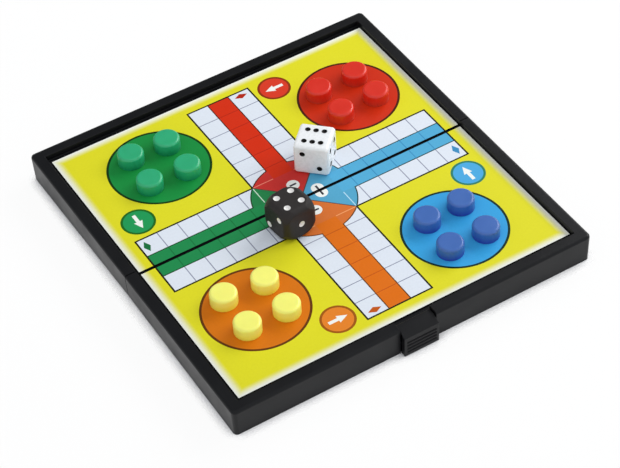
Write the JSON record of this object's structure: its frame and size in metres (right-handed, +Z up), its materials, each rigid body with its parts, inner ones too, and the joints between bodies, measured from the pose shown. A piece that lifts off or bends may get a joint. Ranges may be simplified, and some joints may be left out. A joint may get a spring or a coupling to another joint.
{
  "type": "folding board game",
  "caption": "Folding travel ludo board: hinged hollow half trays with a printed sheet over steel, magnetic pegs, dice and a sliding catch.",
  "frame": {"origin": "middle of the outline, on the table that the board lies on", "axes": "+Z up from the table, X along the fold, -Y towards the edge with the catch"},
  "size_m": [0.162, 0.1694, 0.0263],
  "materials": {
    "black_abs": "satin moulded black plastic",
    "latch_abs": "satin moulded black plastic with grip ridges",
    "sheet_steel": "rolled tinplate",
    "printed_card": "printed card with a glossy laminate",
    "pin_steel": "bright drawn wire",
    "ferrite": "matte ferrite",
    "white_die": "polished white with black dimples",
    "black_die": "polished black with white dimples",
    "green_peg": "moulded plastic, slightly translucent",
    "red_peg": "moulded plastic, slightly translucent",
    "blue_peg": "moulded plastic, slightly translucent",
    "yellow_peg": "moulded plastic, slightly translucent"
  },
  "bodies": {
    "rear_half": {"rear_tray": "black_abs", "rear_steel_plate": "sheet_steel", "rear_print_sheet": "printed_card", "hinge_pin_left": "pin_steel", "hinge_pin_right": "pin_steel"},
    "front_half": {"front_tray": "black_abs", "front_steel_plate": "sheet_steel", "front_print_sheet": "printed_card"},
    "latch": {"latch_slider": "latch_abs"},
    "green_piece_1": {"green_peg_1": "green_peg", "green_magnet_1": "ferrite"},
    "green_piece_2": {"green_peg_2": "green_peg", "green_magnet_2": "ferrite"},
    "green_piece_3": {"green_peg_3": "green_peg", "green_magnet_3": "ferrite"},
    "green_piece_4": {"green_peg_4": "green_peg", "green_magnet_4": "ferrite"},
    "red_piece_1": {"red_peg_1": "red_peg", "red_magnet_1": "ferrite"},
    "red_piece_2": {"red_peg_2": "red_peg", "red_magnet_2": "ferrite"},
    "red_piece_3": {"red_peg_3": "red_peg", "red_magnet_3": "ferrite"},
    "red_piece_4": {"red_peg_4": "red_peg", "red_magnet_4": "ferrite"},
    "blue_piece_1": {"blue_peg_1": "blue_peg", "blue_magnet_1": "ferrite"},
    "blue_piece_2": {"blue_peg_2": "blue_peg", "blue_magnet_2": "ferrite"},
    "blue_piece_3": {"blue_peg_3": "blue_peg", "blue_magnet_3": "ferrite"},
    "blue_piece_4": {"blue_peg_4": "blue_peg", "blue_magnet_4": "ferrite"},
    "yellow_piece_1": {"yellow_peg_1": "yellow_peg", "yellow_magnet_1": "ferrite"},
    "yellow_piece_2": {"yellow_peg_2": "yellow_peg", "yellow_magnet_2": "ferrite"},
    "yellow_piece_3": {"yellow_peg_3": "yellow_peg", "yellow_magnet_3": "ferrite"},
    "yellow_piece_4": {"yellow_peg_4": "yellow_peg", "yellow_magnet_4": "ferrite"},
    "white_die_body": {"white_die": "white_die"},
    "black_die_body": {"black_die": "black_die"}
  },
  "joints": [
    {"name": "fold_hinge", "type": "hinge", "parent": "rear_half", "child": "front_half", "pos_m": [0, 0.00115, 0.0018], "axis": [1, 0, 0], "range_deg": [0, 177.3]},
    {"name": "latch_slide", "type": "slide", "parent": "front_half", "child": "latch", "axis": [0, 0, -1], "range_m": [0, 0.004]},
    {"name": "green_lift_1", "type": "slide", "parent": "rear_half", "child": "green_piece_1", "axis": [0, 0, 1], "range_m": [0, 0.02]},
    {"name": "green_lift_2", "type": "slide", "parent": "rear_half", "child": "green_piece_2", "axis": [0, 0, 1], "range_m": [0, 0.02]},
    {"name": "green_lift_3", "type": "slide", "parent": "rear_half", "child": "green_piece_3", "axis": [0, 0, 1], "range_m": [0, 0.02]},
    {"name": "green_lift_4", "type": "slide", "parent": "rear_half", "child": "green_piece_4", "axis": [0, 0, 1], "range_m": [0, 0.02]},
    {"name": "red_lift_1", "type": "slide", "parent": "rear_half", "child": "red_piece_1", "axis": [0, 0, 1], "range_m": [0, 0.02]},
    {"name": "red_lift_2", "type": "slide", "parent": "rear_half", "child": "red_piece_2", "axis": [0, 0, 1], "range_m": [0, 0.02]},
    {"name": "red_lift_3", "type": "slide", "parent": "rear_half", "child": "red_piece_3", "axis": [0, 0, 1], "range_m": [0, 0.02]},
    {"name": "red_lift_4", "type": "slide", "parent": "rear_half", "child": "red_piece_4", "axis": [0, 0, 1], "range_m": [0, 0.02]},
    {"name": "blue_lift_1", "type": "slide", "parent": "front_half", "child": "blue_piece_1", "axis": [0, 0, 1], "range_m": [0, 0.02]},
    {"name": "blue_lift_2", "type": "slide", "parent": "front_half", "child": "blue_piece_2", "axis": [0, 0, 1], "range_m": [0, 0.02]},
    {"name": "blue_lift_3", "type": "slide", "parent": "front_half", "child": "blue_piece_3", "axis": [0, 0, 1], "range_m": [0, 0.02]},
    {"name": "blue_lift_4", "type": "slide", "parent": "front_half", "child": "blue_piece_4", "axis": [0, 0, 1], "range_m": [0, 0.02]},
    {"name": "yellow_lift_1", "type": "slide", "parent": "front_half", "child": "yellow_piece_1", "axis": [0, 0, 1], "range_m": [0, 0.02]},
    {"name": "yellow_lift_2", "type": "slide", "parent": "front_half", "child": "yellow_piece_2", "axis": [0, 0, 1], "range_m": [0, 0.02]},
    {"name": "yellow_lift_3", "type": "slide", "parent": "front_half", "child": "yellow_piece_3", "axis": [0, 0, 1], "range_m": [0, 0.02]},
    {"name": "yellow_lift_4", "type": "slide", "parent": "front_half", "child": "yellow_piece_4", "axis": [0, 0, 1], "range_m": [0, 0.02]},
    {"name": "white_die_lift", "type": "slide", "parent": "rear_half", "child": "white_die_body", "axis": [0, 0, 1], "range_m": [0, 0.03]},
    {"name": "black_die_lift", "type": "slide", "parent": "front_half", "child": "black_die_body", "axis": [0, 0, 1], "range_m": [0, 0.03]}
  ]
}
